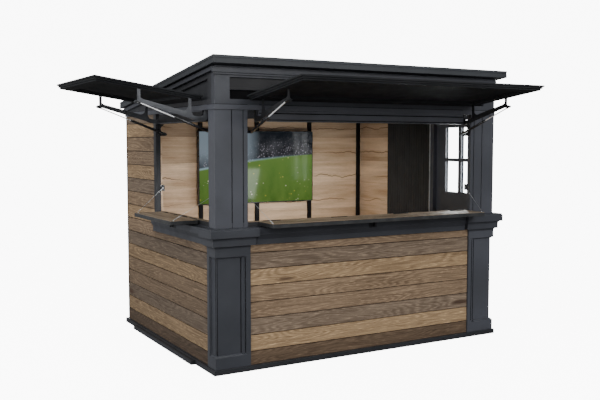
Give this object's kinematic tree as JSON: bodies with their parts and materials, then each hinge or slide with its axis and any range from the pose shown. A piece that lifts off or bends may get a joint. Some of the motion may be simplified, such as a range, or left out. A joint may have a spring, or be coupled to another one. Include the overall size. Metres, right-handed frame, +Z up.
{
  "type": "bar shed",
  "caption": "Timber bar shed with serving counters on two sides, lift-up flaps on gas struts, fold-up shelves, a half-glazed side door and a pent roof.",
  "frame": {"origin": "middle of the base frame at ground level", "axes": "+X along the front counter towards the door side, +Y from the front counter to the back wall, +Z up"},
  "size_m": [3.8206, 3.1235, 2.5],
  "materials": {
    "charcoal_frame": "satin charcoal paint on timber",
    "cladding": "brown weathered oak-look boards",
    "floor_boards": "sealed boards",
    "roof_paint": "charcoal coated panel",
    "oak_lining": "pale oak boards",
    "counter_wood": "greyed hardwood",
    "black_metal": "black powder coat",
    "polished_rod": "polished",
    "bare_steel": "plain steel",
    "flap_paint": "satin charcoal paint",
    "clear_glass": "clear",
    "dark_panel": "dark grooved boards",
    "screen_black": "gloss"
  },
  "bodies": {
    "shed": {"base_frame": "charcoal_frame", "floor": "floor_boards", "skid_bar": "charcoal_frame", "pilaster_left": "charcoal_frame", "pilaster_right": "charcoal_frame", "capital_left": "charcoal_frame", "capital_right": "charcoal_frame", "front_wall": "cladding", "left_wall": "cladding", "left_wall_rear_upper": "cladding", "back_wall": "cladding", "right_wall_rear": "cladding", "corner_trims": "black_metal", "aprons": "charcoal_frame", "post_left": "charcoal_frame", "post_right": "charcoal_frame", "left_jamb": "charcoal_frame", "front_header": "charcoal_frame", "left_header": "charcoal_frame", "architrave": "charcoal_frame", "front_frieze": "charcoal_frame", "left_frieze": "charcoal_frame", "right_frieze": "charcoal_frame", "back_frieze": "charcoal_frame", "cornice": "charcoal_frame", "roof": "roof_paint", "sills": "counter_wood", "shelf_hinges": "black_metal", "shelf_bracket": "black_metal", "oak_linings": "oak_lining", "battens": "black_metal", "grooved_panel": "dark_panel", "tv": "screen_black", "flap_mountings": "black_metal", "cable_anchors": "black_metal", "door_frame": "charcoal_frame", "door_pintles": "black_metal"},
    "front_flap": {"front_flap": "flap_paint", "front_flap_arms": "black_metal"},
    "left_flap": {"left_flap": "flap_paint", "left_flap_arms": "black_metal"},
    "front_struts": {"front_strut_cylinders": "black_metal"},
    "front_rods": {"front_strut_rods": "polished_rod"},
    "left_struts": {"left_strut_cylinders": "black_metal"},
    "left_rods": {"left_strut_rods": "polished_rod"},
    "front_shelf": {"front_shelf": "counter_wood", "front_shelf_cables": "bare_steel"},
    "left_shelf": {"left_shelf": "counter_wood", "left_shelf_cables": "bare_steel"},
    "door": {"door_leaf": "charcoal_frame", "door_glass": "clear_glass", "door_handle": "bare_steel", "door_hinges": "black_metal"}
  },
  "joints": [
    {"name": "front_flap_hinge", "type": "hinge", "parent": "shed", "child": "front_flap", "pos_m": [0, -1.075, 2.12], "axis": [1, 0, 0], "range_deg": [0, 97]},
    {"name": "left_flap_hinge", "type": "hinge", "parent": "shed", "child": "left_flap", "pos_m": [-1.4125, 0, 2.12], "axis": [0, -1, 0], "range_deg": [0, 98.5]},
    {"name": "front_strut_swing", "type": "hinge", "parent": "shed", "child": "front_struts", "pos_m": [0, -1.05, 1.915], "axis": [1, 0, 0], "range_deg": [0, 114.23]},
    {"name": "front_strut_slide", "type": "slide", "parent": "front_struts", "child": "front_rods", "axis": [0, -0.9352, 0.3542], "range_m": [-0.2726, 0]},
    {"name": "left_strut_swing", "type": "hinge", "parent": "shed", "child": "left_struts", "pos_m": [-1.3875, 0, 1.915], "axis": [0, -1, 0], "range_deg": [0, 116.56]},
    {"name": "left_strut_slide", "type": "slide", "parent": "left_struts", "child": "left_rods", "axis": [-0.9352, 0, 0.3542], "range_m": [-0.2729, 0]},
    {"name": "front_shelf_hinge", "type": "hinge", "parent": "shed", "child": "front_shelf", "pos_m": [0, -1.0675, 1.201], "axis": [-1, 0, 0], "range_deg": [0, 90]},
    {"name": "left_shelf_hinge", "type": "hinge", "parent": "shed", "child": "left_shelf", "pos_m": [-1.405, 0, 1.201], "axis": [0, 1, 0], "range_deg": [0, 90]},
    {"name": "door_hinge", "type": "hinge", "parent": "shed", "child": "door", "pos_m": [1.4455, -0.313, 1], "axis": [0, 0, 1], "range_deg": [0, 100]}
  ],
  "couplings": [
    {"joint": "front_strut_swing", "follows": "front_flap_hinge", "ratio": 1.1775},
    {"joint": "front_strut_slide", "follows": "front_flap_hinge", "m_per_rad": -0.16099},
    {"joint": "front_shelf_hinge", "follows": "front_flap_hinge", "ratio": 0.92783},
    {"joint": "left_strut_swing", "follows": "left_flap_hinge", "ratio": 1.1833},
    {"joint": "left_strut_slide", "follows": "left_flap_hinge", "m_per_rad": -0.15866},
    {"joint": "left_shelf_hinge", "follows": "left_flap_hinge", "ratio": 0.9137}
  ]
}
